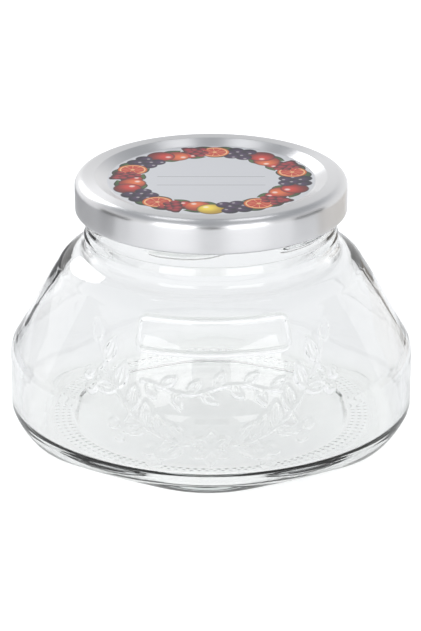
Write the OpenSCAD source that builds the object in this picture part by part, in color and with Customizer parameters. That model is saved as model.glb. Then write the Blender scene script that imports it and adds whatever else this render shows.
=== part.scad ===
// Squat glass jam pot with a pressed metal lug cap
// The pot has a round belt over a soft six-sided foot, a sloping shoulder and a short neck.
// Six threads stand out of the neck. The cap's six lugs pass between them when the cap is lowered,
// and run under their high ends when it is turned clockwise.
// The cap is drawn resting on the rim with its lugs in the gaps, so it lifts straight up.
// Lengths are in millimetres and angles in degrees. The origin is the centre of the bearing ring's
// underside, +Z is up, and the viewer's side is -Y.

/* [Foot] */
// Half the width across the flats of the foot's lowest edge
foot_half_w = 54.7; // [51:0.1:58]
// Number of soft corners round the foot
foot_corners = 6; // [5:1:10]
// Roundness of the foot's outline at its lowest edge, where 1 is a circle
foot_round_share = 0.52; // [0.3:0.01:0.9]
// Turn of the foot's corners about the axis, where 0 puts one at the viewer
foot_yaw = -1.6; // [-15:0.1:15]
// Height over which the foot swells out to the belt
foot_h = 7.5; // [6:0.1:12]
// Power of the swelling curve, where 2 is a quarter of an ellipse
foot_power = 1.41; // [1.2:0.01:2.4]
// Height of the bearing ring that the pot stands on
ring_h = 0.3; // [0.2:0.05:0.8]
// Distance from the flats of the foot's lowest edge to the bearing ring
ring_gap = 2.7; // [1.5:0.1:5]
// Width of the bearing ring
ring_w = 8; // [4:0.1:12]
// Rise of the domed hollow under the floor
hollow_h = 0.8; // [0.4:0.1:2.4]

/* [Body] */
// Outer radius of the belt, the pot's widest part
belt_r = 64.3; // [61:0.1:70]
// Height of the upright belt
belt_h = 18.3; // [12:0.1:24]
// Rounding of the edge between belt and slope
belt_edge_r = 8; // [1:0.1:10]
// Height of the slope, from the belt to the shoulder's bend
slope_h = 29.9; // [24:0.1:38]
// Radius of the shoulder's bend
shoulder_r = 47.3; // [45:0.1:51]
// Height from the shoulder's bend to the root of the neck
shoulder_h = 4.2; // [2.5:0.1:8]
// Rounding of the shoulder's bend
shoulder_round = 9.5; // [5:0.1:12]
// Thickness of the glass in the sides and the neck
wall = 2.8; // [2.2:0.1:3.6]
// Thickness of the floor over the bearing ring
floor_t = 3.6; // [3.2:0.1:6]
// Distance from the flats of the foot's lowest edge to the edge of the flat floor inside
floor_inset = 3; // [2:0.1:8]
// Height over which the inside curves up from the floor to the wall
inside_foot_h = 5; // [4.2:0.1:11]
// Rounding of the bends inside the pot
inside_round = 5; // [3:0.1:8]

/* [Neck] */
// Outer radius of the neck where it carries the threads
neck_r = 39.8; // [38.8:0.1:41]
// Height of the plain throat, from the shoulder to the step under the threads
throat_h = 6.4; // [4.5:0.1:9]
// Width of the step under the threads, by which the throat is narrower
neck_step = 0.4; // [0.2:0.05:0.7]
// Height of the neck, from that step to the rim
neck_h = 15.1; // [14.6:0.1:18]
// Rounding where the throat meets the shoulder
throat_round = 5; // [2:0.1:6]
// Rounding of the rim's two edges
rim_round = 1; // [0.5:0.1:1.2]
// Number of threads, and of lugs in the cap
thread_count = 6; // [4:1:6]
// How far a thread stands out of the neck
thread_h = 1.3; // [1:0.05:1.4]
// Width of a thread along the axis
thread_w = 2.2; // [1.6:0.1:2.4]
// Height between a thread's low end and its high end
thread_climb = 4.6; // [4.2:0.1:5]

/* [Cap] */
// Height of the cap
cap_h = 10.8; // [10.4:0.1:11.6]
// Thickness of the cap's sheet metal
tin_t = 0.3; // [0.2:0.05:0.4]
// Gap between the threads and the inside of the cap's skirt
skirt_gap = 1.6; // [1.5:0.05:1.9]
// Rounding of the cap's shoulder, from its rim to its skirt
cap_round = 2.9; // [1.5:0.1:3]
// Depth of the sunk panel below the cap's rim
panel_drop = 1.6; // [1:0.1:2.4]
// Gap between the pot's bore and the edge of the flat panel
panel_gap = 3.7; // [3:0.1:5]
// Rounding of the bends at the panel
panel_round = 1; // [0.5:0.1:1.4]
// Outer radius of the curl that hems the skirt
curl_r = 0.65; // [0.5:0.05:0.7]
// Gap between a lug and the neck
lug_gap = 0.5; // [0.3:0.05:0.7]
// Height of a lug
lug_h = 1.3; // [1:0.05:1.4]
// Gap between a locked lug and the thread over it
lock_gap = 0.15; // [0.1:0.05:0.4]

/* [Sealing ring] */
// Thickness of the sealing ring
seal_h = 1; // [0.6:0.1:1.4]
// Width of the sealing ring
seal_w = 2.7; // [2.2:0.1:2.8]
// Distance from the pot's bore to the ring's inner edge
seal_inset = 0.7; // [0.5:0.1:0.9]
// Rounding of the ring's two lower edges
seal_round = 0.4; // [0.2:0.05:0.6]

/* [Hidden] */
$fn = 96;

// How far the foot runs up into the belt, and how far under the belt's faces it stays there
lap_h = 0.4;
lap_depth = 0.1;

// Heights, from the table up
foot_z = ring_h;
belt_z = foot_z + foot_h;
slope_z = belt_z + belt_h;
shoulder_z = slope_z + slope_h;
throat_z = shoulder_z + shoulder_h;
neck_z = throat_z + throat_h;
rim_z = neck_z + neck_h;
land_z = rim_z + seal_h;
cap_top_z = land_z + tin_t;
cap_bottom_z = cap_top_z - cap_h;
floor_z = foot_z + floor_t;
inside_z = floor_z + inside_foot_h;
lap_z = max(belt_z, inside_z) + lap_h;

// Radii that follow from the foot and the neck
ring_r = foot_half_w - ring_gap;
hollow_r = ring_r - ring_w;
throat_r = neck_r - neck_step;
bore_r = throat_r - wall;
thread_r = neck_r + thread_h;
cap_r = thread_r + skirt_gap + tin_t;
panel_r = bore_r - panel_gap;
seal_in_r = bore_r + seal_inset;
seal_out_r = seal_in_r + seal_w;

// Steps of curves: the corners of an outline, the hollow's dome, the foot's surface and a thread
corner_steps = 8;
dome_steps = 12;
foot_segments = 72;
foot_rings = 10;
thread_steps = 20;
thread_sides = 6;

// Angles of a thread, counted from the direction that it is set in
thread_low = -32;
ramp_low = -22;
ramp_high = 14;
thread_high = 25;
// Power of the ramp's curve, and the angle over which a thread's end fades into the neck
ramp_power = 3.2;
fade = 5;
// Size of a thread's section at its very end, as a share of the full section
fade_share = 0.15;

// Angle that one lug takes up, and the angle of its middle with the cap unlocked
lug_arc = 9;
lug_open = 55.5;

// Direction of the viewer, from which threads and corners are counted
front = -90;

// Depth to which a thread is rooted in the neck
thread_root = 0.4;
// Overrun of cuts
cut = 1;
// Largest share of a side that the rounding at one of its ends may take
side_share = 0.45;

// Unit vector along v
function unit(v) = v / norm(v);

// Vector v turned by angle a
function turned(v, a) = [v.x * cos(a) - v.y * sin(a), v.x * sin(a) + v.y * cos(a)];

// Arc of radius r that rounds corner b between a and c
function rounded(a, b, c, r) =
    let (u = unit(a - b), v = unit(c - b))
    r == 0 || norm(u + v) == 0
        ? [b]
        : let (half = acos(u * v) / 2,
               reach = min(r / tan(half), side_share * min(norm(a - b), norm(c - b))),
               centre = b + unit(u + v) * reach / cos(half),
               start = b + u * reach - centre,
               sweep = sign(cross(start, b - centre)) * (180 - 2 * half))
          [for (i = [0 : corner_steps]) centre + turned(start, sweep * i / corner_steps)];

// Path p with each inner corner rounded by its own radius
function rounded_path(p, radii) =
    [p[0], for (i = [1 : len(p) - 2]) each rounded(p[i - 1], p[i], p[i + 1], radii[i - 1]), p[len(p) - 1]];

// Corner i of path p, moved by d to the left of the path's direction
function beside(p, i, d) =
    let (a = i > 0 ? unit(p[i] - p[i - 1]) : unit(p[1] - p[0]),
         b = i < len(p) - 1 ? unit(p[i + 1] - p[i]) : a,
         left_a = [-a.y, a.x], left_b = [-b.y, b.x])
    p[i] + (left_a + left_b) * d / (1 + left_a * left_b);

// Path p moved by d to its left
function shifted(p, d) = [for (i = [0 : len(p) - 1]) beside(p, i, d)];

// Path p in the opposite order
function reversed(p) = [for (i = [len(p) - 1 : -1 : 0]) p[i]];

// Radius at angle a, counted from a corner, of a regular outline of half width w with round corners
function outline_r(a, w, share) =
    let (half = 180 / foot_corners, round_r = share * w, far = (w - round_r) / cos(half),
         turn = a - 2 * half * floor(a / (2 * half)), off = min(turn, 2 * half - turn), face = half - off)
    w * tan(face) <= (w - round_r) * tan(half)
        ? w / cos(face)
        : far * cos(off) + sqrt(round_r * round_r - pow(far * sin(off), 2));

// One ring of points of the foot at height z: the foot's outline of half width w, swollen by a share
// towards the circle of radius r
function foot_ring(w, r, swell, z) =
    [for (i = [0 : foot_segments - 1])
        let (a = 360 * i / foot_segments, low_r = outline_r(a, w, foot_round_share),
             at = front + foot_yaw + a, point_r = low_r + (r - low_r) * swell)
        [point_r * cos(at), point_r * sin(at), z]];

// Solid that swells from half width w at height z0 to the circle of radius r at height z1,
// and stays on that circle up to height top_z
module swelling(w, z0, r, z1, top_z) {
    rings = [
        for (j = [0 : foot_rings])
            let (a = 90 * j / foot_rings)
            foot_ring(w, r, pow(sin(a), 2 / foot_power), z0 + (z1 - z0) * (1 - pow(cos(a), 2 / foot_power))),
        foot_ring(w, r, 1, top_z)
    ];
    skin(rings);
}

// Closed solid through rings of points, each ring counter-clockwise when seen from its far side
module skin(rings) {
    n = len(rings[0]);
    last = len(rings) - 1;
    points = [for (ring = rings) each ring];
    faces = [
        [for (i = [0 : n - 1]) i],
        for (j = [0 : last - 1]) for (i = [0 : n - 1])
            let (a = j * n + i, b = j * n + (i + 1) % n)
            each [[a, a + n, b + n], [a, b + n, b]],
        [for (i = [n - 1 : -1 : 0]) last * n + i]
    ];
    polyhedron(points, faces);
}

// Outline of the glass from the belt's lower edge to the rim, and back down inside
module glass_section() {
    body = [[belt_r, belt_z], [belt_r, slope_z], [shoulder_r, shoulder_z], [throat_r, throat_z]];
    neck = [[throat_r, neck_z], [neck_r, neck_z + neck_step], [neck_r, rim_z]];
    inside = shifted([each body, [throat_r, rim_z]], wall);
    polygon(rounded_path([each body, each neck, each reversed(inside)],
                         [belt_edge_r, shoulder_round, throat_round, 0, 0, rim_round,
                          rim_round, inside_round, inside_round, inside_round]));
}

// Half section of the hollow under the floor, upright at the bearing ring and domed over it
module hollow_section() {
    polygon([[0, -cut], [hollow_r, -cut],
             for (i = [dome_steps : -1 : 0])
                 let (share = i / dome_steps)
                 [hollow_r * share, ring_h + hollow_h * (1 - share * share)]]);
}

// One thread, low at its clockwise end and high over the cap's lug at the other
module thread() {
    section_r = thread_h + thread_root;
    high_z = cap_bottom_z + lug_h + lock_gap + thread_w / 2;
    rings = [
        for (i = [0 : thread_steps])
            let (a = thread_low + (thread_high - thread_low) * i / thread_steps,
                 climb = max(0, min(1, (a - ramp_low) / (ramp_high - ramp_low))),
                 z = high_z - thread_climb * (1 - pow(climb, ramp_power)),
                 end = min(1, (a - thread_low) / fade, (thread_high - a) / fade),
                 size = fade_share + (1 - fade_share) * sqrt(max(0, end)))
            [for (k = [0 : thread_sides])
                let (side = 90 - 180 * k / thread_sides,
                     r = neck_r - thread_root + section_r * size * cos(side))
                [r * cos(front + a), r * sin(front + a), z + thread_w / 2 * size * sin(side)]]
    ];
    skin(rings);
}

// Middle line of the cap's sheet metal, from the centre of the panel to the end of the curl
function cap_line() =
    let (side_r = cap_r - tin_t / 2, top_z = land_z + tin_t / 2, centre = curl_r - tin_t / 2)
    concat(
        rounded_path([[0, top_z - panel_drop], [panel_r, top_z - panel_drop], [bore_r, top_z],
                      [side_r, top_z], [side_r, cap_bottom_z + curl_r]],
                     [panel_round, panel_round, cap_round - tin_t / 2]),
        [for (i = [1 : 3 * corner_steps])
            let (a = -90 * i / corner_steps)
            [side_r - centre + centre * cos(a), cap_bottom_z + curl_r + centre * sin(a)]]);

// One lug, pressed inward from the curl
module lug() {
    out_r = cap_r - curl_r;
    in_r = neck_r + lug_gap;
    rotate([0, 0, front + lug_open - lug_arc / 2])
        rotate_extrude(angle = lug_arc)
            union() {
                translate([in_r + lug_h / 2, cap_bottom_z])
                    square([out_r - in_r - lug_h / 2, lug_h]);
                translate([in_r + lug_h / 2, cap_bottom_z + lug_h / 2])
                    circle(d = lug_h);
            }
}

module glass_pot() {
    color([0.86, 0.91, 0.89, 0.5])
        difference() {
            union() {
                rotate_extrude() glass_section();
                swelling(foot_half_w, foot_z, belt_r - lap_depth, belt_z + lap_h, lap_z);
                cylinder(r = ring_r, h = foot_z + hollow_h);
                for (i = [0 : thread_count - 1]) rotate([0, 0, 360 * i / thread_count]) thread();
            }
            swelling(foot_half_w - floor_inset, floor_z, belt_r - wall - lap_depth, inside_z,
                     lap_z + cut);
            rotate_extrude() hollow_section();
        }
}

module sealing_ring() {
    color([0.93, 0.92, 0.88])
        rotate_extrude()
            polygon(rounded_path([[seal_in_r, land_z], [seal_in_r, rim_z], [seal_out_r, rim_z],
                                  [seal_out_r, land_z]], [seal_round, seal_round]));
}

module lid_shell() {
    color([0.82, 0.82, 0.84])
        union() {
            line = cap_line();
            rotate_extrude() polygon(concat(shifted(line, tin_t / 2), reversed(shifted(line, -tin_t / 2))));
            for (i = [0 : thread_count - 1]) rotate([0, 0, 360 * i / thread_count]) lug();
        }
}

glass_pot();
sealing_ring();
lid_shell();
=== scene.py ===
# %% [markdown]
# # A squat jam pot of clear glass with a printed lug lid
# The pot is one moulding of clear glass: a soft six-sided foot, a round belt, a sloping shoulder and
# a short neck with six threads. The lid is pressed from thin tinplate, printed on top, and carries a
# ring of soft sealing compound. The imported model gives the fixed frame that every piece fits.

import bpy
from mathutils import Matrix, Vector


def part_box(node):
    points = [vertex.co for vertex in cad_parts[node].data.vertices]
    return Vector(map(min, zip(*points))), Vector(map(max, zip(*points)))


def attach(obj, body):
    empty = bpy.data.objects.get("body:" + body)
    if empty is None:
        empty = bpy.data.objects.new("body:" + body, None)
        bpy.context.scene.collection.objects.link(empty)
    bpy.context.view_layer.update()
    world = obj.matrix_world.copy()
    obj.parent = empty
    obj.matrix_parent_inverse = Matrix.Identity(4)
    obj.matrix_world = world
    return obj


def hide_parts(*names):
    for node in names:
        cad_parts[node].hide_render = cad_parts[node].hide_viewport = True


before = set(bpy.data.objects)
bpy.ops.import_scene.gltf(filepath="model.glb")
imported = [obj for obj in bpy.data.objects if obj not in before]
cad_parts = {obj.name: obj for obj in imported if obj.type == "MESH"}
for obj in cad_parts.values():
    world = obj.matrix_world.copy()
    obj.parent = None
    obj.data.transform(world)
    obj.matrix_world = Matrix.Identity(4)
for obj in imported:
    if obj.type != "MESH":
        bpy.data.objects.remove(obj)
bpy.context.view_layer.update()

# %% Tools and units
import math

import bpy
import numpy as np
from mathutils import Vector

MM = 0.001
pot_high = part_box("glass_pot")[1] / MM
lid_low, lid_high = (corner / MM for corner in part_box("lid_shell"))
seal_low, seal_high = (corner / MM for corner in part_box("sealing_ring"))
print("pot", tuple(pot_high), "lid", tuple(lid_high), "in millimetres")

# %% [markdown]
# ## The camera
# The photograph looks down on the pot at about 22 degrees through a long lens from about a metre
# away, so its sides hardly converge. The camera is placed by that angle and distance and aimed at a
# point on the pot's axis. A small shift does what a turn would spoil: the pot's axis stays upright.

# %% Set the camera
CAMERA_TILT = math.radians(21.96)
CAMERA_DISTANCE = 969.5
AIM_Z = 35.26
LENS_MM = 172.7
SHIFT_X = -0.001

camera = bpy.data.objects.new("camera", bpy.data.cameras.new("camera"))
camera.data.lens = LENS_MM
camera.data.sensor_width = 36
camera.data.shift_x = SHIFT_X
camera.data.clip_start = 0.01
camera.location = (0, -math.cos(CAMERA_TILT) * CAMERA_DISTANCE * MM,
                   (AIM_Z + math.sin(CAMERA_TILT) * CAMERA_DISTANCE) * MM)
camera.rotation_euler = (math.pi / 2 - CAMERA_TILT, 0, 0)
bpy.context.scene.collection.objects.link(camera)
bpy.context.scene.camera = camera
print("camera at", tuple(round(v, 3) for v in camera.location))

# %% [markdown]
# ## Profiles
# Glass and tin are both shapes of revolution, so each starts as a half section: a list of points of
# radius and height. Only the corners are written down. A small function rounds each corner with an
# arc, and another cuts long straight stretches into short ones, so that later steps can bend them.

# %% Round the corners of a path
def rounded_corner(a, b, c, radius, steps):
    """Points of an arc that rounds the corner b between a and c."""
    if radius == 0:
        return [b]
    u, v = (a - b) / np.linalg.norm(a - b), (c - b) / np.linalg.norm(c - b)
    half = math.acos(np.clip(u @ v, -1, 1)) / 2
    reach = min(radius / math.tan(half), 0.45 * np.linalg.norm(a - b), 0.45 * np.linalg.norm(c - b))
    bisector = (u + v) / np.linalg.norm(u + v)
    centre = b + bisector * reach / math.cos(half)
    start, end = b + u * reach - centre, b + v * reach - centre
    turn = math.atan2(start[0] * end[1] - start[1] * end[0], start @ end)
    angles = np.linspace(0, turn, steps + 1)
    return [centre + np.array([start[0] * math.cos(t) - start[1] * math.sin(t),
                               start[0] * math.sin(t) + start[1] * math.cos(t)]) for t in angles]


def rounded_path(corners, radii, steps):
    """The path through corners, with each inner corner rounded by its own radius."""
    p = [np.array(corner, float) for corner in corners]
    inner = [rounded_corner(p[i - 1], p[i], p[i + 1], radii[i - 1], steps) for i in range(1, len(p) - 1)]
    return np.array([p[0], *(point for arc in inner for point in arc), p[-1]])


def finer(path, longest):
    """The same path with no stretch longer than that."""
    points = [path[0]]
    for a, b in zip(path[:-1], path[1:]):
        pieces = max(1, math.ceil(np.linalg.norm(b - a) / longest))
        points += [a + (b - a) * (i + 1) / pieces for i in range(pieces)]
    return np.array(points)


# %% Turn rings of points into a closed mesh
def closed_skin(name, rings, centre_start, centre_end):
    """A closed surface through rings of points, with one point closing each end."""
    rows, columns = rings.shape[:2]
    mesh = bpy.data.meshes.new(name)
    verts = np.concatenate([rings.reshape(-1, 3), [centre_start, centre_end]]) * MM
    i = np.arange(columns)
    j = np.arange(rows - 1)[:, None] * columns
    quads = np.stack([j + i, j + (i + 1) % columns, j + columns + (i + 1) % columns, j + columns + i], -1)
    first, last = rows * columns, rows * columns + 1
    top = (rows - 1) * columns
    faces = quads.reshape(-1, 4).tolist()
    faces += [(first, (k + 1) % columns, k) for k in range(columns)]
    faces += [(last, top + k, top + (k + 1) % columns) for k in range(columns)]
    mesh.from_pydata(verts.tolist(), [], faces)
    mesh.shade_smooth()
    piece = bpy.data.objects.new(name, mesh)
    bpy.context.scene.collection.objects.link(piece)
    print(name, len(mesh.vertices), "points", len(mesh.polygons), "faces")
    return piece


# %% [markdown]
# ## The glass pot
# The outline of the foot is a soft hexagon that swells into the round belt within a few millimetres,
# by a power curve that leaves the table almost flat and meets the belt upright. Everything above is
# round. The walls are 2.8 mm thick, so the inside is a second skin that follows the first.

# %% Sizes of the pot
FRONT = -90.0
foot_half_w, foot_corners, foot_round_share, foot_yaw, foot_power = 54.7, 6, 0.52, -1.6, 1.41
ring_h, ring_out_r, ring_in_r, hollow_h = 0.3, 52.0, 44.0, 0.8
belt_r, belt_z, slope_z = pot_high.x, 7.8, 26.1
shoulder_r, shoulder_z, throat_r, throat_z = 47.3, 56.0, 39.4, 60.2
neck_r, neck_z, neck_step, rim_z = 39.8, 66.6, 0.4, pot_high.z
wall, floor_z, floor_inset, inside_z = 2.8, 3.9, 3.0, 8.9
bore_r = throat_r - wall
print("pot height to the rim", round(rim_z, 1), "belt radius", round(belt_r, 2))

# %% Angles round the pot
RELIEF_HALF_ANGLE = 66.0
front_columns, back_columns = 378, 372
columns = np.radians(FRONT + np.concatenate([
    np.linspace(-RELIEF_HALF_ANGLE, RELIEF_HALF_ANGLE, front_columns, endpoint=False),
    np.linspace(RELIEF_HALF_ANGLE, 360 - RELIEF_HALF_ANGLE, back_columns, endpoint=False)]))
around = np.stack([np.cos(columns), np.sin(columns)], -1)
from_front = np.degrees((columns - math.radians(FRONT) + math.pi) % (2 * math.pi) - math.pi)
print(len(columns), "columns round the pot")

# %% The foot's outline and how it swells
def foot_outline(half_w):
    """Radius at every column of the foot's soft polygon of half width half_w."""
    half = math.pi / foot_corners
    round_r = foot_round_share * half_w
    corner_centre = (half_w - round_r) / math.cos(half)
    turn = np.mod(np.radians(from_front - foot_yaw), 2 * half)
    off = np.minimum(turn, 2 * half - turn)
    face = half - off
    flat = half_w / np.cos(face)
    corner = corner_centre * np.cos(off) + np.sqrt(
        np.maximum(round_r ** 2 - (corner_centre * np.sin(off)) ** 2, 0))
    return np.where(half_w * np.tan(face) <= (half_w - round_r) * math.tan(half), flat, corner)


def swelling(half_w, low_z, full_r, high_z, steps):
    """Rings from the foot's outline at low_z to the circle of full_r at high_z."""
    outline = foot_outline(half_w)
    rings = []
    for t in np.linspace(0, math.pi / 2, steps + 1):
        share = math.sin(t) ** (2 / foot_power)
        z = low_z + (high_z - low_z) * (1 - math.cos(t) ** (2 / foot_power))
        rings.append((outline + (full_r - outline) * share, np.full(len(columns), z)))
    return rings


def circles(path):
    """A plain circle for each point of a path."""
    return [(np.full(len(columns), r), np.full(len(columns), z)) for r, z in path]


# %% Threads on the neck
THREADS, THREAD_H, THREAD_W, THREAD_CLIMB = 6, 1.3, 2.2, 4.6
thread_low, ramp_low, ramp_high, thread_high = -32.0, -22.0, 14.0, 25.0
CLIMB_POWER, THREAD_FADE, END_WIDTH_SHARE, THREAD_SOFTNESS = 3.2, 9.0, 0.6, 1.5
LUG_H, LUG_CLEARANCE = 1.3, 0.15
thread_top_z = lid_low.z + LUG_H + LUG_CLEARANCE + THREAD_W / 2


def thread_height(z):
    """How far the threads stand out of the neck at height z, at every column."""
    height = np.zeros(len(columns))
    for k in range(THREADS):
        a = np.mod(from_front - 360 / THREADS * k + 180, 360) - 180
        climb = np.clip((a - ramp_low) / (ramp_high - ramp_low), 0, 1) ** CLIMB_POWER
        middle = thread_top_z - THREAD_CLIMB * (1 - climb)
        end = np.clip(np.minimum(a - thread_low, thread_high - a) / THREAD_FADE, 0, 1)
        size = end ** 2 * (3 - 2 * end)
        width_share = END_WIDTH_SHARE + (1 - END_WIDTH_SHARE) * size
        across = np.abs(z - middle) / (THREAD_W / 2 * width_share)
        bump = THREAD_H * size * np.clip(1 - across ** 2, 0, 1) ** THREAD_SOFTNESS
        height = np.maximum(height, np.where(end > 0, bump, 0))
    return height


# %% [markdown]
# ## The relief on the front
# The mould leaves a raised picture on the front of the slope: a plain frame, a leafy sprig under it,
# two sprays with berries that spread from the middle, and a blossom between them. It could be cut as
# separate solids and joined, but glass has no seams. So each shape is a small height map in
# millimetres, measured along the slope, and the skin is pushed out by the highest of them.

# %% Shapes of the relief
LEAF_BORDER, LEAF_RIB = 0.55, 0.45


def ridge(distance, half_w, height):
    """A rounded line of that half width along distance 0."""
    return height * np.clip(1 - (distance / half_w) ** 2, 0, 1) ** 0.75


def framed(x, y, half_w, half_h, corner, line_half_w, height):
    """The raised outline of a rectangle with round corners."""
    dx, dy = np.abs(x) - half_w + corner, np.abs(y) - half_h + corner
    outside = np.hypot(np.maximum(dx, 0), np.maximum(dy, 0)) + np.minimum(np.maximum(dx, dy), 0)
    return ridge(outside - corner, line_half_w, height)


def leaf(x, y, at, angle, length, width, height):
    """A pointed leaf: a raised border and a midrib round a lower middle."""
    c, s = math.cos(angle), math.sin(angle)
    u, v = (x - at[0]) * c + (y - at[1]) * s, -(x - at[0]) * s + (y - at[1]) * c
    t = np.clip(u / length, 0, 1)
    half_w = width * np.sin(math.pi * t ** 0.85) ** 0.9
    from_edge = np.where((u > 0) & (u < length), half_w - np.abs(v), -1)
    border = ridge(from_edge - LEAF_BORDER, LEAF_BORDER, 1.0)
    middle = 0.3 * np.clip(from_edge / LEAF_BORDER, 0, 1)
    return height * np.maximum(np.maximum(border, middle), ridge(v, LEAF_RIB, 0.8) * (from_edge > 0))


def berry(x, y, at, radius, height):
    """A domed berry with a small dimple in its middle."""
    d = np.hypot(x - at[0], y - at[1])
    return height * np.clip(1 - (d / radius) ** 2, 0, 1) ** 0.5 * (1 - 0.5 * np.exp(-(d / 0.5) ** 2))


def stem(x, y, points, half_w, height):
    """A raised line through points."""
    nearest = np.full(x.shape, 1e3)
    for (ax, ay), (bx, by) in zip(points[:-1], points[1:]):
        t = np.clip(((x - ax) * (bx - ax) + (y - ay) * (by - ay)) / ((bx - ax) ** 2 + (by - ay) ** 2), 0, 1)
        nearest = np.minimum(nearest, np.hypot(x - ax - t * (bx - ax), y - ay - t * (by - ay)))
    return ridge(nearest, half_w, height)


# %% The relief's layout
RELIEF_H = 0.75
FRAME_HALF_W, FRAME_HALF_H, FRAME_X, FRAME_MIDDLE = 24.5, 5.1, 0.9, 25.9
SPRAY_START, SPRAY_REACH, SPRAY_LOW, SPRAY_RISE = 6.0, 37.0, -7.0, 27.0
SPRIG_HALF, SPRIG_MIDDLE = 21.0, 10.0
BLOSSOM = (0.0, -8.0)


def spray_line(t, side):
    """A point of the spray's stem, t from 0 at the middle of the pot to 1 at its tip."""
    return side * (SPRAY_START + (SPRAY_REACH - SPRAY_START) * t), SPRAY_LOW + SPRAY_RISE * t ** 2


def sprig_line(t):
    """A point of the waving sprig over the sprays, t from -1 at its left end to 1 at its right end."""
    return SPRIG_HALF * t, SPRIG_MIDDLE + 1.5 * math.sin(math.pi * 1.5 * t)


def heading(line, t, *args):
    """The angle at which a line runs on at t."""
    at, ahead = line(t, *args), line(t + 0.02, *args)
    return math.atan2(ahead[1] - at[1], ahead[0] - at[0])


def relief(x, y):
    """Height of the relief at x along the front and y up the slope from the belt's upper edge."""
    parts = [framed(x - FRAME_X, y - FRAME_MIDDLE, FRAME_HALF_W, FRAME_HALF_H, 2.6, 0.7, RELIEF_H)]
    for side in (-1, 1):
        parts.append(stem(x, y, [spray_line(t, side) for t in np.linspace(0, 1, 13)], 0.6, RELIEF_H))
        for i, t in enumerate(np.linspace(0.06, 0.9, 6)):
            at, along = spray_line(t, side), heading(spray_line, t, side)
            parts.append(leaf(x, y, at, along + 0.85 * side, 9.0, 2.3, RELIEF_H))
            if i % 2:
                foot = (at[0] + side * 2.4, at[1] - 4.0)
                parts.append(stem(x, y, [at, foot], 0.4, RELIEF_H * 0.7))
                parts += [berry(x, y, (foot[0] + dx * side, foot[1] + dy), 2.0, RELIEF_H)
                          for dx, dy in ((-1.2, -1.4), (2.7, -0.6), (0.9, -4.4))]
            else:
                parts.append(leaf(x, y, at, along - 0.85 * side, 8.0, 2.2, RELIEF_H))
        parts.append(leaf(x, y, spray_line(1, side), heading(spray_line, 1, side), 8.0, 2.2, RELIEF_H))
    parts.append(stem(x, y, [sprig_line(t) for t in np.linspace(-1, 1, 25)], 0.5, RELIEF_H))
    for i, t in enumerate(np.linspace(-0.92, 0.86, 10)):
        turn = 0.9 if i % 2 else -0.9
        parts.append(leaf(x, y, sprig_line(t), heading(sprig_line, t) + turn, 6.0, 1.6, RELIEF_H))
    parts += [leaf(x, y, BLOSSOM, math.radians(90 + 60 * k), 6.5, 2.2, RELIEF_H) for k in range(6)]
    parts.append(berry(x, y, BLOSSOM, 1.8, RELIEF_H * 1.1))
    return np.maximum.reduce(parts)


# %% Knurling under the pot
DOTS, DOT_H, DOTS_IN_R, DOTS_OUT_R, DOT_PITCH, DOT_FADE = 120, 0.09, 45.0, 51.0, 2.0, 0.6


def knurl(r):
    """Height above the table of the pits between the small dots that the pot stands on."""
    band = np.clip(np.minimum(r - DOTS_IN_R, DOTS_OUT_R - r) / DOT_FADE, 0, 1)
    row = 0.5 - 0.5 * math.cos(2 * math.pi * (float(np.mean(r)) - DOTS_IN_R) / DOT_PITCH)
    return DOT_H * band * (1 - row * (0.5 - 0.5 * np.cos(np.radians(from_front) * DOTS)))


# %% The skin under the pot and up its outside
RELIEF_STEP, NECK_ROW_H, PLAIN_STEP, DOT_STEP = 0.42, 0.16, 1.2, 0.4
SWELL_OUT, SWELL_LOW, SWELL_HIGH = 0.9, 0.4, 2.4
OUTER_ROUNDS, INNER_ROUNDS, RIM_ROUND, HOLLOW_ROUND = [8, 9.5, 3.5, 1.2, 0], [5, 8, 8], 1, 2
NECK_INSIDE_H, FLOOR_CROWN = 8, 0.5

dome = [(ring_in_r * share, ring_h + hollow_h * (1 - share ** 2)) for share in np.linspace(0.02, 0.97, 14)]
ring_edge = rounded_path([dome[-1], (ring_in_r, 0), (ring_out_r, 0)], [HOLLOW_ROUND], 8)
hollow = np.array([*dome, *ring_edge[1:]])
under = [(r, z + knurl(r) * (z < 0.01)) for r, z in circles(finer(hollow, DOT_STEP))]
foot = swelling(foot_half_w, ring_h, belt_r, belt_z, 22)
sides = rounded_path([(belt_r, belt_z + 0.6), (belt_r, slope_z), (shoulder_r, shoulder_z),
                      (throat_r + SWELL_OUT, throat_z - SWELL_LOW),
                      (throat_r + SWELL_OUT, neck_z - SWELL_HIGH), (throat_r, neck_z),
                      (neck_r, neck_z + neck_step)], OUTER_ROUNDS, 14)
sides = finer(sides, RELIEF_STEP)
neck = finer(rounded_path([(neck_r, neck_z + neck_step + 0.1), (neck_r, rim_z), (bore_r, rim_z),
                           (bore_r, throat_z)], [RIM_ROUND, RIM_ROUND], 6), NECK_ROW_H)
print(len(sides), "rings up the sides,", len(neck), "round the neck and the rim")

# %% The inside skin
slant = wall * math.tan(math.atan2(belt_r - shoulder_r, shoulder_z - slope_z) / 2)
dip = wall * math.tan(math.atan2(shoulder_r - throat_r, throat_z - shoulder_z) / 2)
inner_lean = math.atan2(belt_r - shoulder_r, shoulder_z - slope_z)
shelf_lean = math.atan2(shoulder_r - throat_r, throat_z - shoulder_z)
bend = wall * math.tan((shelf_lean - inner_lean) / 2)
inner_shoulder = (shoulder_r - wall * math.cos(inner_lean) - bend * math.sin(inner_lean),
                  shoulder_z - wall * math.sin(inner_lean) + bend * math.cos(inner_lean))
inside = finer(rounded_path([(bore_r, throat_z + NECK_INSIDE_H), (bore_r, throat_z - dip), inner_shoulder,
                             (belt_r - wall, slope_z - slant), (belt_r - wall, inside_z + 0.3)],
                            INNER_ROUNDS, 12), PLAIN_STEP)
inside_foot = swelling(foot_half_w - floor_inset, floor_z, belt_r - wall, inside_z, 24)[::-1]
floor_edge = inside_foot[-1][0]
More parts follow.
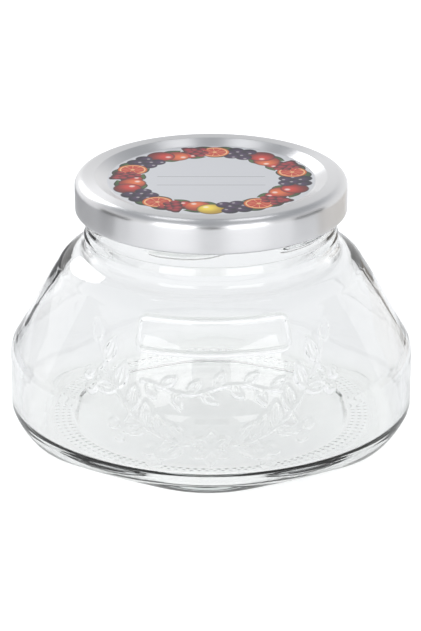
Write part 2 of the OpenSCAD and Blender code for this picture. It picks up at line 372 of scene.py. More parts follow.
floor = [(floor_edge * share, np.full(len(columns), floor_z + FLOOR_CROWN * (1 - share) ** 2))
         for share in (0.97, 0.9, 0.75, 0.55, 0.35, 0.15, 0.03)]
neck = neck[(neck[:, 0] > bore_r + 1e-6) | (neck[:, 1] > throat_z + NECK_INSIDE_H)]
print(len(inside), "rings down the inside")

# %% Push the relief and the threads out
SLOPE_WAVE, WAVE_HALF, WAVE_MIDDLE = 0.16, 15.0, 16.0
RELIEF_MARGIN, RELIEF_FADE = 2, 4

tangent = np.gradient(sides, axis=0)
out = np.stack([tangent[:, 1], -tangent[:, 0]], -1)
out /= np.linalg.norm(out, axis=1)[:, None]
run = np.concatenate([[0], np.cumsum(np.linalg.norm(np.diff(sides, axis=0), axis=1))])
run -= run[np.argmin(np.abs(sides[:, 1] - slope_z))]
middle_r = (belt_r + shoulder_r) / 2
# The glass is never quite straight: the slope dips a little low down and swells a little higher up.
wave = SLOPE_WAVE * np.sin(np.pi * np.clip((run - WAVE_MIDDLE) / WAVE_HALF, -1, 1))
sides = sides + wave[:, None] * out
relief_x = np.radians(from_front)[None, :] * (0.5 * middle_r + 0.5 * sides[:, :1])
pushed = relief(relief_x, np.repeat(run[:, None], len(columns), 1))
pushed *= np.clip((RELIEF_HALF_ANGLE - RELIEF_MARGIN - np.abs(from_front)) / RELIEF_FADE, 0, 1)[None, :]
body = [(r + pushed[j] * out[j, 0], np.full(len(columns), z) + pushed[j] * out[j, 1])
        for j, (r, z) in enumerate(sides)]
print("relief up to", round(float(pushed.max()), 2), "mm")

threads = np.array([thread_height(z) * (r > neck_r - 0.05) for r, z in neck])
# Two soft averages take the stair steps out of the climbing threads.
for _ in range(2):
    threads = (np.roll(threads, 1, 1) + 2 * threads + np.roll(threads, -1, 1)) / 4
    threads[1:-1] = (threads[:-2] + 2 * threads[1:-1] + threads[2:]) / 4
finish = [(r + threads[j], np.full(len(columns), z)) for j, (r, z) in enumerate(neck)]
print("threads up to", round(float(threads.max()), 2), "mm")

# %% Build the glass pot
stations = under + [(r, z) for r, z in foot] + body + finish + circles(inside) + inside_foot + floor
rings = np.array([np.column_stack([r * around[:, 0], r * around[:, 1], z]) for r, z in stations])
glass = closed_skin("glass_pot_clear", rings, (0, 0, ring_h + hollow_h), (0, 0, floor_z + FLOOR_CROWN))
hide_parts("glass_pot")
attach(glass, "pot")

# %% [markdown]
# ## Writing shaders as plain maths
# A material is a graph of nodes. Placing each node by hand hides the thought behind it, so one small
# class wraps a socket and lets Python's operators add the Math nodes, and one method adds any other
# node from its type, its settings and what goes into its sockets.

# %% A socket that can be calculated with
class Val:
    """A shader socket. Python's operators on it add Math nodes to its tree."""

    def __init__(self, tree, socket):
        self.tree, self.socket = tree, socket

    def node(self, kind, settings=None, **sockets):
        """Adds a node of that kind. Settings go first, then values or links by socket name or number."""
        made = self.tree.nodes.new(kind)
        for key, value in (settings or {}).items():
            setattr(made, key, value)
        for key, value in sockets.items():
            into = made.inputs[int(key[1:])] if key[0] == "i" and key[1:].isdigit() else made.inputs[
                key.replace("_", " ")]
            if isinstance(value, Val):
                self.tree.links.new(value.socket, into)
            else:
                into.default_value = value
        return made

    def math(self, operation, a, b=None, clamp=False):
        sockets = {"i0": a} if b is None else {"i0": a, "i1": b}
        made = self.node("ShaderNodeMath", {"operation": operation, "use_clamp": clamp}, **sockets)
        return Val(self.tree, made.outputs[0])

    def __add__(self, other):
        return self.math("ADD", self, other)

    def __radd__(self, other):
        return self.math("ADD", other, self)

    def __sub__(self, other):
        return self.math("SUBTRACT", self, other)

    def __rsub__(self, other):
        return self.math("SUBTRACT", other, self)

    def __mul__(self, other):
        return self.math("MULTIPLY", self, other)

    def __neg__(self):
        return self.math("MULTIPLY", self, -1.0)

    def __abs__(self):
        return self.math("ABSOLUTE", self)

    def maximum(self, other):
        return self.math("MAXIMUM", self, other)

    def clamped(self):
        return self.math("ADD", self, 0.0, clamp=True)

    def root(self):
        return self.math("SQRT", self)

    def sine(self):
        return self.math("SINE", self)

    def cosine(self):
        return self.math("COSINE", self)

    def rounded(self):
        return self.math("ROUND", self)

    def step(self, low, high):
        """0 below low, 1 above high and smooth between them."""
        made = self.node("ShaderNodeMapRange", {"interpolation_type": "SMOOTHSTEP"},
                         Value=self, From_Min=low, From_Max=high)
        return Val(self.tree, made.outputs[0])

    def noise(self, vector, scale, detail=2.0, roughness=0.5):
        made = self.node("ShaderNodeTexNoise", None, Vector=vector, Scale=scale, Detail=detail,
                         Roughness=roughness)
        return Val(self.tree, made.outputs["Fac"])

    def mix(self, share, a, b):
        """The colour a, turned to b by the share."""
        made = self.node("ShaderNodeMix", {"data_type": "RGBA"}, i0=share, i6=a, i7=b)
        return Val(self.tree, made.outputs[2])


def rgb(r, g, b):
    """A solid colour in linear light."""
    return (r, g, b, 1.0)


class Finish:
    """A new material with its Principled shader, its position in millimetres and its tools."""

    def __init__(self, name, **constants):
        self.material = bpy.data.materials.new(name)
        self.material.use_nodes = True
        self.tree = self.material.node_tree
        self.shader = self.tree.nodes["Principled BSDF"]
        self.output = self.tree.nodes["Material Output"]
        self.tool = Val(self.tree, None)
        where = self.tool.node("ShaderNodeTexCoord")
        scaled = self.tool.node("ShaderNodeVectorMath", {"operation": "SCALE"},
                                Vector=Val(self.tree, where.outputs["Object"]), Scale=1 / MM)
        self.place = Val(self.tree, scaled.outputs[0])
        parts = self.tool.node("ShaderNodeSeparateXYZ", None, Vector=self.place)
        self.x, self.y, self.z = (Val(self.tree, socket) for socket in parts.outputs)
        for name, value in constants.items():
            self.shader.inputs[name.replace("_", " ")].default_value = value

    def vector(self, x, y, z):
        return Val(self.tree, self.tool.node("ShaderNodeCombineXYZ", None, X=x, Y=y, Z=z).outputs[0])

    def feed(self, **sockets):
        for name, value in sockets.items():
            self.tree.links.new(value.socket, self.shader.inputs[name.replace("_", " ")])

    def bump(self, height, distance, strength=1.0):
        """Feeds Normal from a height in millimetres."""
        made = self.tool.node("ShaderNodeBump", None, Height=height, Distance=distance * MM,
                              Strength=strength)
        self.tree.links.new(made.outputs[0], self.shader.inputs["Normal"])


# %% [markdown]
# ## Clear glass
# Soda-lime glass bends light strongly and is almost colourless, but light that goes a long way
# through it comes out a grey green. So the surface has no tint of its own, and an even absorption
# inside darkens the long ways through the edges and the base. Lamps would cast a solid shadow
# through it, so their rays take a see-through shader with a faint tint instead. Faint waves from
# the mould keep its reflections from looking machined.

# %% Clear glass
GLASS_TINT, GLASS_DENSITY = rgb(0.52, 0.61, 0.575), 5.0
SHADOW_TINT = rgb(0.955, 0.965, 0.96)

clear = Finish("clear_glass", Roughness=0.0, IOR=1.5, Transmission_Weight=1.0)
clear.shader.inputs["Base Color"].default_value = rgb(1, 1, 1)
waves = clear.tool.noise(clear.place, 0.045, 2.0) + clear.tool.noise(clear.place, 0.2, 1.0) * 0.12
clear.bump(waves, 0.12)
inside_glass = clear.tool.node("ShaderNodeVolumeAbsorption", None, Color=GLASS_TINT, Density=GLASS_DENSITY)
clear.tree.links.new(inside_glass.outputs[0], clear.output.inputs["Volume"])
lamp_ray = Val(clear.tree, clear.tool.node("ShaderNodeLightPath").outputs["Is Shadow Ray"])
see_through = clear.tool.node("ShaderNodeBsdfTransparent", None, Color=SHADOW_TINT)
chosen = clear.tool.node("ShaderNodeMixShader", None, i0=lamp_ray)
clear.tree.links.new(clear.shader.outputs[0], chosen.inputs[1])
clear.tree.links.new(see_through.outputs[0], chosen.inputs[2])
clear.tree.links.new(chosen.outputs[0], clear.output.inputs["Surface"])
glass.data.materials.append(clear.material)

# %% [markdown]
# ## The lid
# The lid is drawn from sheet 0.3 mm thick. Its section is a middle line, sunk over the panel, flat
# over the pot's rim, rounded into the skirt and curled inwards at the bottom. Pushing the line out by
# half the sheet's thickness on both sides gives the metal. Six lugs are pressed in from the curl.

# %% Build the lid shell
LID_COLUMNS = 360
tin, panel_r, panel_drop, cap_round, curl_r = 0.3, 32.9, 1.6, 2.9, 0.65
cap_r, cap_top_z, cap_bottom_z = 43.0, lid_high.z, lid_low.z
land_z = cap_top_z - tin
LUG_ARC, LUG_MIDDLE, LUG_GAP = 9.0, 55.5, 0.5
LUG_TAPER, LUG_SQUARENESS, LUG_OVERLAP = 5, 0.7, 0.2

side_r, middle_z, curl = cap_r - tin / 2, land_z + tin / 2, curl_r - tin / 2
line = rounded_path([(0.5, middle_z - panel_drop), (panel_r, middle_z - panel_drop), (bore_r, middle_z),
                     (side_r, middle_z), (side_r, cap_bottom_z + curl_r)],
                    [1.0, 1.0, cap_round - tin / 2], 12)
line = finer(line, 1.5)
turns = np.radians(np.linspace(-12, -270, 22))
rolled = np.column_stack([side_r - curl + curl * np.cos(turns), cap_bottom_z + curl_r + curl * np.sin(turns)])
line = np.concatenate([line, rolled])
way = np.gradient(line, axis=0)
left = np.stack([-way[:, 1], way[:, 0]], -1) / np.linalg.norm(way, axis=1)[:, None]
lid_section = np.concatenate([line + left * tin / 2, (line - left * tin / 2)[::-1]])
lid_angles = np.linspace(0, 2 * math.pi, LID_COLUMNS, endpoint=False)
lid_around = np.stack([np.cos(lid_angles), np.sin(lid_angles)], -1)


def turned_rings(section, around_it):
    """Rings of points for a section of radius and height."""
    return np.array([np.column_stack([r * around_it, np.full(len(around_it), z)]) for r, z in section])


lid = closed_skin("lid_shell_tin", turned_rings(lid_section, lid_around)[::-1],
                  (0, 0, middle_z - panel_drop - tin / 2), (0, 0, middle_z - panel_drop + tin / 2))


# %% Press the lugs in from the curl
def lug_rings(middle):
    """Rings along one lug: a rounded tongue that grows out of the curl and fades into it again."""
    rings = []
    for t in np.linspace(-1, 1, 25):
        a = math.radians(FRONT + middle + LUG_ARC / 2 * t)
        reach = (1 - abs(t) ** LUG_TAPER) ** 0.5
        inner = (neck_r + LUG_GAP) * reach + (cap_r - curl_r * 1.6) * (1 - reach)
        half_r, half_z = (cap_r - curl_r - inner) / 2 + LUG_OVERLAP, LUG_H / 2 * (0.75 + 0.25 * reach)
        centre_r, centre_z = inner + half_r, cap_bottom_z + half_z
        turn = np.linspace(0, 2 * math.pi, 24, endpoint=False)
        c, s = np.cos(turn), np.sin(turn)
        r = centre_r + half_r * np.sign(c) * np.abs(c) ** LUG_SQUARENESS
        z = centre_z + half_z * np.sign(s) * np.abs(s) ** LUG_SQUARENESS
        rings.append(np.column_stack([r * math.cos(a), r * math.sin(a), z]))
    return np.array(rings)


def join(pieces, name):
    """One object of several, keeping the first one's materials."""
    bpy.ops.object.select_all(action="DESELECT")
    for piece in pieces:
        piece.select_set(True)
    bpy.context.view_layer.objects.active = pieces[0]
    bpy.ops.object.join()
    pieces[0].name = name
    return pieces[0]


lugs = []
for k in range(THREADS):
    tongue = lug_rings(LUG_MIDDLE + 360 / THREADS * k)
    lugs.append(closed_skin(f"lug_{k}", tongue, tongue[0].mean(0), tongue[-1].mean(0)))
lid = join([lid, *lugs], "lid_shell_tin")
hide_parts("lid_shell")
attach(lid, "lid")

# %% [markdown]
# ## The sealing ring
# The compound is flowed into the channel over the rim as a liquid and cured there, so its top fills
# the tin's corner and its lower face is soft, with a shallow groove where the glass presses.

# %% Build the sealing ring
SEAL_GROOVE, GROOVE_HALF_W = 0.12, 0.7
seal_in_r, seal_out_r = bore_r + 0.7, seal_high.x
seal_corners = rounded_path([(seal_in_r, seal_high.z), (seal_in_r, seal_low.z), (seal_out_r, seal_low.z),
                             (seal_out_r, seal_high.z)], [0.4, 0.4], 6)
seal_path = finer(seal_corners, 0.25)
on_face = seal_path[:, 1] < seal_low.z + 0.05
groove = np.exp(-((seal_path[:, 0] - (bore_r + neck_r) / 2) / GROOVE_HALF_W) ** 2) * on_face
seal_path[:, 1] += SEAL_GROOVE * groove
top = finer(np.array([[seal_out_r, seal_high.z], [seal_in_r, seal_high.z]]), 0.4)[1:-1]
seal_section = np.concatenate([seal_path, top])


def closed_ring(name, section, columns_round):
    """A ring whose section is a closed loop of radius and height."""
    angles = np.linspace(0, 2 * math.pi, columns_round, endpoint=False)
    rings = turned_rings(section, np.stack([np.cos(angles), np.sin(angles)], -1)) * MM
    rows = len(section)
    mesh = bpy.data.meshes.new(name)

    def at(j, i):
        return (j % rows) * columns_round + i % columns_round

    faces = [(at(j, i), at(j + 1, i), at(j + 1, i + 1), at(j, i + 1))
             for j in range(rows) for i in range(columns_round)]
    mesh.from_pydata(rings.reshape(-1, 3).tolist(), [], faces)
    mesh.shade_smooth()
    mesh.set_sharp_from_angle(angle=math.radians(50))
    piece = bpy.data.objects.new(name, mesh)
    bpy.context.scene.collection.objects.link(piece)
    print(name, len(mesh.polygons), "faces")
    return piece


seal = closed_ring("sealing_ring_compound", seal_section, 240)
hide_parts("sealing_ring")
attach(seal, "seal")

# %% [markdown]
# ## Satin tin
# Tinplate has a fine grain, which here runs round the rim and the skirt. It is too fine to see as
# lines, and shows as a soft spread of each highlight, so it varies the roughness and the colour a
# little and gives a faint bump. Handling scuffs are patches that are a little rougher.

# %% Satin tin
TIN_COLOUR, TIN_ROUGHNESS = rgb(0.66, 0.66, 0.672), 0.29

satin = Finish("satin_tin", Metallic=1.0, Anisotropic=0.8, Anisotropic_Rotation=0.25)
radius = (satin.x * satin.x + satin.y * satin.y).root()
round_skirt = satin.vector(radius * 2.2, satin.z * 6.0, satin.tool.math("ARCTAN2", satin.y, satin.x) * 2.0)
grain = satin.tool.noise(round_skirt, 3.0, 3.0, 0.6)
scuffs = satin.tool.noise(satin.place, 0.18, 3.0, 0.6).step(0.55, 0.8)
satin.feed(Roughness=TIN_ROUGHNESS + (grain - 0.5) * 0.05 + scuffs * 0.03,
           Base_Color=satin.tool.mix(grain, TIN_COLOUR, rgb(0.685, 0.685, 0.695)))
satin.bump(grain, 0.004, 0.5)

# %% [markdown]
# ## White lacquer inside the lid
# The inside of a food lid is lacquered white against acid. It is glossy and slightly uneven.

# %% White lacquer
lacquer = Finish("white_lacquer", Roughness=0.3)
mottle = lacquer.tool.noise(lacquer.place, 0.5, 3.0)
lacquer.feed(Base_Color=lacquer.tool.mix(mottle, rgb(0.86, 0.85, 0.82), rgb(0.9, 0.895, 0.87)),
             Roughness=0.26 + mottle * 0.12)
lacquer.bump(mottle, 0.05, 0.4)

# %% [markdown]
# ## Sealing compound
# The cured ring is a soft matt plastic in cream, a little marbled and finely pitted.

# %% Sealing compound
compound = Finish("seal_compound", Roughness=0.62, Subsurface_Weight=0.0)
pits = compound.tool.noise(compound.place, 3.2, 3.0, 0.65)
marble = compound.tool.noise(compound.place, 0.35, 2.0)
compound.feed(Base_Color=compound.tool.mix(marble, rgb(0.82, 0.80, 0.73), rgb(0.88, 0.87, 0.81)),
              Roughness=0.5 + pits * 0.25)
compound.bump(pits, 0.06, 0.6)
seal.data.materials.append(compound.material)

# %% [markdown]
# ## The print on the lid
# The panel is printed before it is pressed: the bare satin metal under a cool varnish, a garland of
# fruit and leaves round the edge, and two ruled lines to write on. The garland repeats a group of
# motifs five times, so the plane is folded into one sector first and every motif is drawn once. A
# motif has a mask and a shaded colour. Each is laid over what is there, and where ink covers the
# metal, the surface stops being metallic.

# %% Printed panel
SECTORS, PRINT_EDGE = 5, 0.22
LINE_HALF_W, LINE_HALF_LENGTH, LINE_YS = 0.14, 17.0, (2.8, -5.2)
GROUND_LOW, GROUND_HIGH = rgb(0.66, 0.672, 0.705), rgb(0.69, 0.70, 0.73)
INK, PALE = rgb(0.02, 0.015, 0.02), rgb(0.9, 0.87, 0.82)

printed = Finish("printed_panel", Specular_IOR_Level=0.3)
tool = printed.tool
angle = tool.math("ARCTAN2", printed.y, printed.x)
radius = (printed.x * printed.x + printed.y * printed.y).root()
sector_angle = 2 * math.pi / SECTORS
sector = (angle * (1 / sector_angle)).rounded()
folded = angle - sector * sector_angle
fold = printed.vector(radius * folded.cosine(), radius * folded.sine(), 0.0)
golden = 1 - abs(sector + 1).step(0.1, 0.2)
speck = tool.noise(printed.place, 1.1, 3.0)


class Spot:
    """A motif's own axes in the sector: u runs on round the garland, v points inwards, in millimetres."""

    def __init__(self, degrees, r, turn=0.0):
        a = math.radians(degrees)
        self.middle = Vector((r * math.cos(a), r * math.sin(a), 0))
        self.along = Vector((math.cos(a + math.pi / 2 + turn), math.sin(a + math.pi / 2 + turn), 0))
        self.inwards = Vector((-self.along.y, self.along.x, 0))

    def distance(self, shift_u=0.0, shift_v=0.0):
        """How far a point is from the motif's middle, or from one that is shifted."""
        middle = self.middle + self.along * shift_u + self.inwards * shift_v
        return Val(printed.tree, tool.node("ShaderNodeVectorMath", {"operation": "DISTANCE"},
                                           i0=fold, i1=middle).outputs["Value"])

    def coordinate(self, axis):
        """How far a point lies along one axis from the middle."""
        made = tool.node("ShaderNodeVectorMath", {"operation": "DOT_PRODUCT"}, i0=fold, i1=axis)
        return Val(printed.tree, made.outputs["Value"]) - self.middle.dot(axis)


class Print:
    """The drawing so far: its colour, and how far the ink covers the bare metal."""

    def __init__(self, ground):
        self.colour, self.cover = ground, tool.math("MULTIPLY", speck, 0.0)

    def lay(self, mask, colour):
        """Lays a colour over what is there, where the mask is 1."""
        self.colour = tool.mix(mask, self.colour, colour)
        self.cover = self.cover.maximum(mask)

    def fruit(self, spot, size, dark, light, shine=0.6):
        """A round fruit: a dark outline, a lighter middle up and to the left, and a pale glint."""
        from_middle = spot.distance()
        colour = tool.mix(spot.distance(-0.25 * size, 0.3 * size).step(0.1 * size, 1.15 * size), light, dark)
        colour = tool.mix(from_middle.step(0.8 * size, 1.05 * size), colour, INK)
        glint = 1 - spot.distance(-0.35 * size, 0.42 * size).step(0.08 * size, 0.28 * size)
        colour = tool.mix(glint * shine, colour, PALE)
        self.lay(inside_of(from_middle, size), colour)

    def small_fruit(self, spot, size, dark, light):
        """A berry too small for an outline: it just gets darker away from its glint."""
        colour = tool.mix(spot.distance(-0.3 * size, 0.35 * size).step(0.1 * size, 1.1 * size), light, dark)
        self.lay(inside_of(spot.distance(), size), colour)

    def leaf(self, spot, length, width, dark, light):
        """A pointed leaf with a dark rim and a paler midrib."""
        u, v = spot.coordinate(spot.along), spot.coordinate(spot.inwards)
        border = ((u * (1 / length)).clamped() * math.pi).sine() * width
        over = border - abs(v)
        colour = tool.mix((v * (0.5 / width) + 0.5).clamped(), dark, light)
        colour = tool.mix(1 - over.step(0.1, 0.7), colour, INK)
        colour = tool.mix(1 - abs(v).step(0.06, 0.28), colour, light)
        self.lay(over.step(-0.05, 0.15), colour)

    def cut_orange(self, spot, size):
        """A slice of blood orange: rind, pith and segments."""
        from_middle = spot.distance()
        u, v = spot.coordinate(spot.along), spot.coordinate(spot.inwards)
        spokes = abs((tool.math("ARCTAN2", v, u) * (9 / 2)).sine())
        flesh = spokes.step(0.0, 0.3) * from_middle.step(0.08 * size, 0.2 * size)
        colour = tool.mix(flesh, rgb(0.75, 0.42, 0.2), rgb(0.5, 0.045, 0.02))
        colour = tool.mix(from_middle.step(0.74 * size, 0.8 * size), colour, rgb(0.8, 0.5, 0.25))
        colour = tool.mix(from_middle.step(0.83 * size, 0.88 * size), colour, rgb(0.62, 0.12, 0.015))
        self.lay(inside_of(from_middle, size), tool.mix(from_middle.step(0.93 * size, size), colour, INK))


def inside_of(distance, size):
    """1 where the distance is under the size, with an edge as soft as the ink."""
    return 1 - distance.step(size - PRINT_EDGE, size + PRINT_EDGE)


GREEN_DARK, GREEN_LIGHT = rgb(0.012, 0.045, 0.012), rgb(0.07, 0.15, 0.03)
RED_DARK, RED_LIGHT = rgb(0.15, 0.004, 0.005), rgb(0.58, 0.035, 0.022)
PLUM_DARK, PLUM_LIGHT = rgb(0.008, 0.005, 0.02), rgb(0.055, 0.025, 0.08)
WINE_DARK, WINE_LIGHT = rgb(0.04, 0.003, 0.007), rgb(0.36, 0.022, 0.035)
AMBER_DARK, AMBER_LIGHT = rgb(0.30, 0.025, 0.01), rgb(0.72, 0.15, 0.04)
GOLD_DARK, GOLD_LIGHT = rgb(0.42, 0.26, 0.015), rgb(0.85, 0.64, 0.07)

drawing = Print(tool.mix(speck, GROUND_LOW, GROUND_HIGH))
for degrees, r, turn, length, width in ((-35, 29.6, 0.3, 9.0, 2.3), (-31, 21.9, -0.1, 8.0, 2.1),
                                        (-13, 29.9, 0.4, 8.5, 2.2), (-13, 22.3, -0.4, 8.0, 1.9),
                                        (2, 30.4, 0.1, 8.0, 2.0), (7, 22.2, -0.2, 8.0, 2.0),
                                        (14, 30.2, 0.1, 9.0, 2.2), (22, 21.8, -0.1, 8.0, 2.0)):
    drawing.leaf(Spot(degrees, r, turn), length, width, GREEN_DARK, GREEN_LIGHT)
for degrees in (-36.5, 35.5):
    drawing.fruit(Spot(degrees, 25.0), 3.6, WINE_DARK, RED_LIGHT)
drawing.fruit(Spot(-27.5, 25.0), 4.4, AMBER_DARK, AMBER_LIGHT)
dark, light = tool.mix(golden, RED_DARK, GOLD_DARK), tool.mix(golden, RED_LIGHT, GOLD_LIGHT)
drawing.fruit(Spot(-18, 27.4), 4.5, dark, light)
for degrees, r in ((-6.5, 29.2), (-8.0, 23.9), (-2.6, 26.4), (2.2, 29.2), (2.0, 23.9), (6.6, 26.9)):
    drawing.fruit(Spot(degrees, r), 2.7, PLUM_DARK, PLUM_LIGHT, 0.4)
drawing.cut_orange(Spot(15.5, 26.6), 4.8)
for degrees, r in ((24.2, 29.8), (23.8, 25.9), (27.2, 28.0), (26.8, 24.0), (30.2, 29.9), (30.0, 26.0),
                   (33.2, 28.3), (33.6, 30.4)):
    drawing.small_fruit(Spot(degrees, r), 1.85, WINE_DARK, WINE_LIGHT)
for line_y in LINE_YS:
    ruled = 1 - abs(printed.y - line_y).step(LINE_HALF_W - 0.08, LINE_HALF_W + 0.08)
    drawing.lay(ruled * (1 - abs(printed.x).step(LINE_HALF_LENGTH - 0.1, LINE_HALF_LENGTH + 0.1)) * 0.6, INK)
printed.feed(Base_Color=drawing.colour, Metallic=1 - drawing.cover, Roughness=0.3 + speck * 0.08)
printed.bump(speck, 0.006, 0.4)
print(len(printed.tree.nodes), "nodes in the print")

# %% Give the lid its three finishes
PRINT_R = 32.2
lid.data.materials.clear()
for finish_used in (satin, printed, lacquer):
    lid.data.materials.append(finish_used.material)
shown, hidden = 0, 0
for face in lid.data.polygons:
    centre, normal = face.center, face.normal
    r = math.hypot(centre.x, centre.y) / MM
    outward = (normal.x * centre.x + normal.y * centre.y) / max(math.hypot(centre.x, centre.y), 1e-9)
    inner_skin = (normal.z < -0.3 and centre.z / MM > cap_bottom_z + 2.5) or (
        outward < -0.5 and cap_bottom_z + 1.6 < centre.z / MM < land_z and r > bore_r + 2)
    if r < PRINT_R and normal.z > 0.9:
        face.material_index, shown = 1, shown + 1
    elif inner_skin:
        face.material_index, hidden = 2, hidden + 1
print(shown, "printed faces,", hidden, "lacquered faces")

# %% [markdown]
# ## Floor, backdrop and light
# The photograph is a packshot: pure white behind and below, with two large lamps in front of the pot,
# two small ones over it and a window-like light behind it at the left. The white comes from what the
# camera, a mirror or the glass sees of the floor and the world, not from more light on the pot.

# %% Floor
FLOOR_HALF = 1.6
floor_mesh = bpy.data.meshes.new("floor")
floor_mesh.from_pydata([(-FLOOR_HALF, -FLOOR_HALF, 0), (FLOOR_HALF, -FLOOR_HALF, 0),
                        (FLOOR_HALF, FLOOR_HALF, 0), (-FLOOR_HALF, FLOOR_HALF, 0)], [], [(0, 1, 2, 3)])
floor_piece = bpy.data.objects.new("floor", floor_mesh)
bpy.context.scene.collection.objects.link(floor_piece)

FLOOR_COLOUR, CAMERA_GLOW, MIRROR_GLOW, FAR_GLOW = rgb(0.85, 0.85, 0.85), 0.34, 0.14, 0.25
THROUGH_GLOW, UNDER_GLOW, FRONT_GLOW, UNDER_Y = 0.03, 0.13, 0.17, 6.0
AWAY_SPAN, FAR_SPAN, POT_SPAN = (120.0, 520.0), (240.0, 560.0), (54.0, 76.0)
FRONT_START_SPAN, FRONT_END_SPAN = (40.0, 56.0), (90.0, 140.0)
paper = Finish("floor_paper", Roughness=0.9, Specular_IOR_Level=0.1)
paper.shader.inputs["Base Color"].default_value = FLOOR_COLOUR
rays = paper.tool.node("ShaderNodeLightPath")
camera_ray, smooth_ray, through_ray = (Val(paper.tree, rays.outputs[kind]) for kind in (
    "Is Camera Ray", "Is Glossy Ray", "Is Transmission Ray"))
mirror_ray = smooth_ray * (1 - through_ray)
from_axis = (paper.x * paper.x + paper.y * paper.y).root()
away = from_axis.step(*AWAY_SPAN)
behind = paper.y - UNDER_Y
# Seen through the glass, the floor glows more under the pot and just in front of it: painted light that lifts
# the pot's shadow there.
under_pot = 1 - (paper.x * paper.x + behind * behind).root().step(*POT_SPAN)
in_front = (-paper.y).step(*FRONT_START_SPAN) * (1 - from_axis.step(*FRONT_END_SPAN))
through_glow = under_pot * UNDER_GLOW + in_front * FRONT_GLOW + from_axis.step(*FAR_SPAN) * FAR_GLOW
strength = (camera_ray * (away * FAR_GLOW + CAMERA_GLOW) + mirror_ray * (away * FAR_GLOW + MIRROR_GLOW)
            + through_ray * (through_glow + THROUGH_GLOW))
glow = paper.tool.node("ShaderNodeEmission", None, Color=rgb(1, 1, 1), Strength=strength)
both = paper.tool.node("ShaderNodeAddShader")
paper.tree.links.new(paper.shader.outputs[0], both.inputs[0])
paper.tree.links.new(glow.outputs[0], both.inputs[1])
paper.tree.links.new(both.outputs[0], paper.output.inputs["Surface"])
floor_mesh.materials.append(paper.material)

# %% World
WORLD_LIGHT, HIGH_GREY, THROUGH_GREY = 0.75, 0.5, 0.65
HORIZON_TOP, HORIZON_HALF = 0.5, 0.25
HIGH_COLOUR = rgb(0.93, 0.96, 1.0)
world = bpy.data.worlds.new("studio")
bpy.context.scene.world = world
world.use_nodes = True
sky = Val(world.node_tree, None)
background = world.node_tree.nodes["Background"]
rays = sky.node("ShaderNodeLightPath")
camera_ray = Val(world.node_tree, rays.outputs["Is Camera Ray"])
through_ray = Val(world.node_tree, rays.outputs["Is Transmission Ray"])
bent_ray = Val(world.node_tree, rays.outputs["Is Glossy Ray"]).maximum(through_ray)
direction = sky.node("ShaderNodeTexCoord")
height = Val(world.node_tree, sky.node("ShaderNodeSeparateXYZ", None, Vector=Val(
    world.node_tree, direction.outputs["Generated"])).outputs[2])
overhead = height.step(HORIZON_TOP - HORIZON_HALF, HORIZON_TOP + HORIZON_HALF)
backdrop = 1 - overhead * (1 - HIGH_GREY - through_ray * (THROUGH_GREY - HIGH_GREY))
strength = camera_ray + (1 - camera_ray) * (bent_ray * backdrop + (1 - bent_ray) * WORLD_LIGHT)
world.node_tree.links.new(strength.socket, background.inputs["Strength"])
world.node_tree.links.new(sky.mix(overhead, rgb(1, 1, 1), HIGH_COLOUR).socket, background.inputs["Color"])


# %% Lamps
LAMP_AIM_H = 0.04


def lamp(name, azimuth, elevation, distance, width, height, power):
    """An area light on a sphere round the pot, facing it. Azimuth runs from the viewer to the right."""
    a, e = math.radians(azimuth - 90), math.radians(elevation)
    light = bpy.data.lights.new(name, "AREA")
    light.shape, light.size, light.size_y, light.energy = "RECTANGLE", width, height, power
    made = bpy.data.objects.new(name, light)
    made.location = (distance * math.cos(e) * math.cos(a), distance * math.cos(e) * math.sin(a),
                     distance * math.sin(e) + LAMP_AIM_H)
    aim = Vector((0, 0, LAMP_AIM_H)) - made.location
    made.rotation_euler = aim.to_track_quat("-Z", "Y").to_euler()
    made.visible_camera = made.visible_transmission = False
    bpy.context.scene.collection.objects.link(made)
    return made


lamp("front_left", -30, 20, 1.0, 0.55, 0.5, 2.2)
lamp("front_right", 30, 20, 1.0, 0.55, 0.5, 2.2)
for name, side in (("over_left", -1), ("over_right", 1)):
    above = lamp(name, 180, 73, 1.05, 0.26, 0.28, 0.55)
    above.location.x = side * 0.23
    above.rotation_euler = (0, 0, 0)
lamp("left_window", -148, 32, 1.0, 0.52, 0.48, 2.2).data.shape = "ELLIPSE"


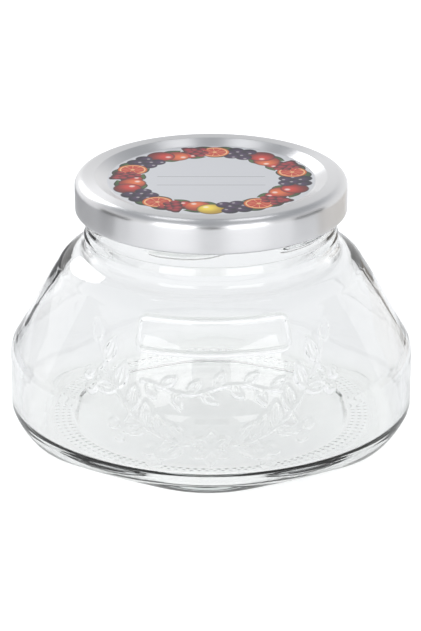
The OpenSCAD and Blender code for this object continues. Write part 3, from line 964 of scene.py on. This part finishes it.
# %% [markdown]
# ## Cards by the pot
# White all round would leave tin and glass without an edge, so a studio puts cards beside them. They
# are hidden from the camera. Most stand close to the pot, and one far in front takes the place of the
# camera's stand. The wide ones are only mirrored and shade the tin, and two narrow ones are only seen
# through the glass and draw its side lines.

# %% Cards
def flag(name, azimuth, distance, width, low, high, material, mirrored=True, bent=True):
    """A card by the pot from height low to high, seen only mirrored, only through the glass, or both."""
    a = math.radians(azimuth - 90)
    mesh = bpy.data.meshes.new(name)
    mesh.from_pydata([(0, -width / 2, low), (0, width / 2, low), (0, width / 2, high), (0, -width / 2, high)],
                     [], [(0, 1, 2, 3)])
    made = bpy.data.objects.new(name, mesh)
    made.location = (distance * math.cos(a), distance * math.sin(a), 0)
    made.rotation_euler = (0, 0, a)
    made.visible_camera = made.visible_diffuse = made.visible_shadow = False
    made.visible_glossy, made.visible_transmission = mirrored, bent
    bpy.context.scene.collection.objects.link(made)
    mesh.materials.append(material)
    return made


def card_finish(name, r, g, b):
    """A matt finish for a card, a little uneven."""
    finish = Finish(name, Roughness=1.0, Specular_IOR_Level=0.0)
    patches = finish.tool.noise(finish.place, 0.05)
    finish.feed(Base_Color=finish.tool.mix(patches, rgb(0.9 * r, 0.9 * g, 0.9 * b),
                                           rgb(1.1 * r, 1.1 * g, 1.1 * b)))
    return finish.material


velvet = card_finish("black_velvet", 0.015, 0.015, 0.015)
slate = card_finish("slate_card", 0.12, 0.12, 0.12)
ash = card_finish("ash_card", 0.36, 0.36, 0.365)
felt = card_finish("pale_felt", 0.78, 0.73, 0.67)
flag("edge_left", -141, 0.19, 0.012, 0, 0.045, velvet, mirrored=False)
flag("edge_right", 141, 0.19, 0.012, 0, 0.045, velvet, mirrored=False)
flag("side_left", -77, 0.18, 0.10, 0.05, 0.115, slate, bent=False)
flag("side_right", 79, 0.18, 0.10, 0.05, 0.115, slate, bent=False)
flag("low_left", -118, 0.18, 0.29, 0, 0.05, ash, bent=False)
flag("low_right", 118, 0.18, 0.18, 0, 0.05, felt, bent=False)
flag("camera_stand", 0, 0.9, 0.28, 0, 0.42, velvet, bent=False)

# %% View transform and the end
bpy.context.scene.view_settings.view_transform = "Standard"
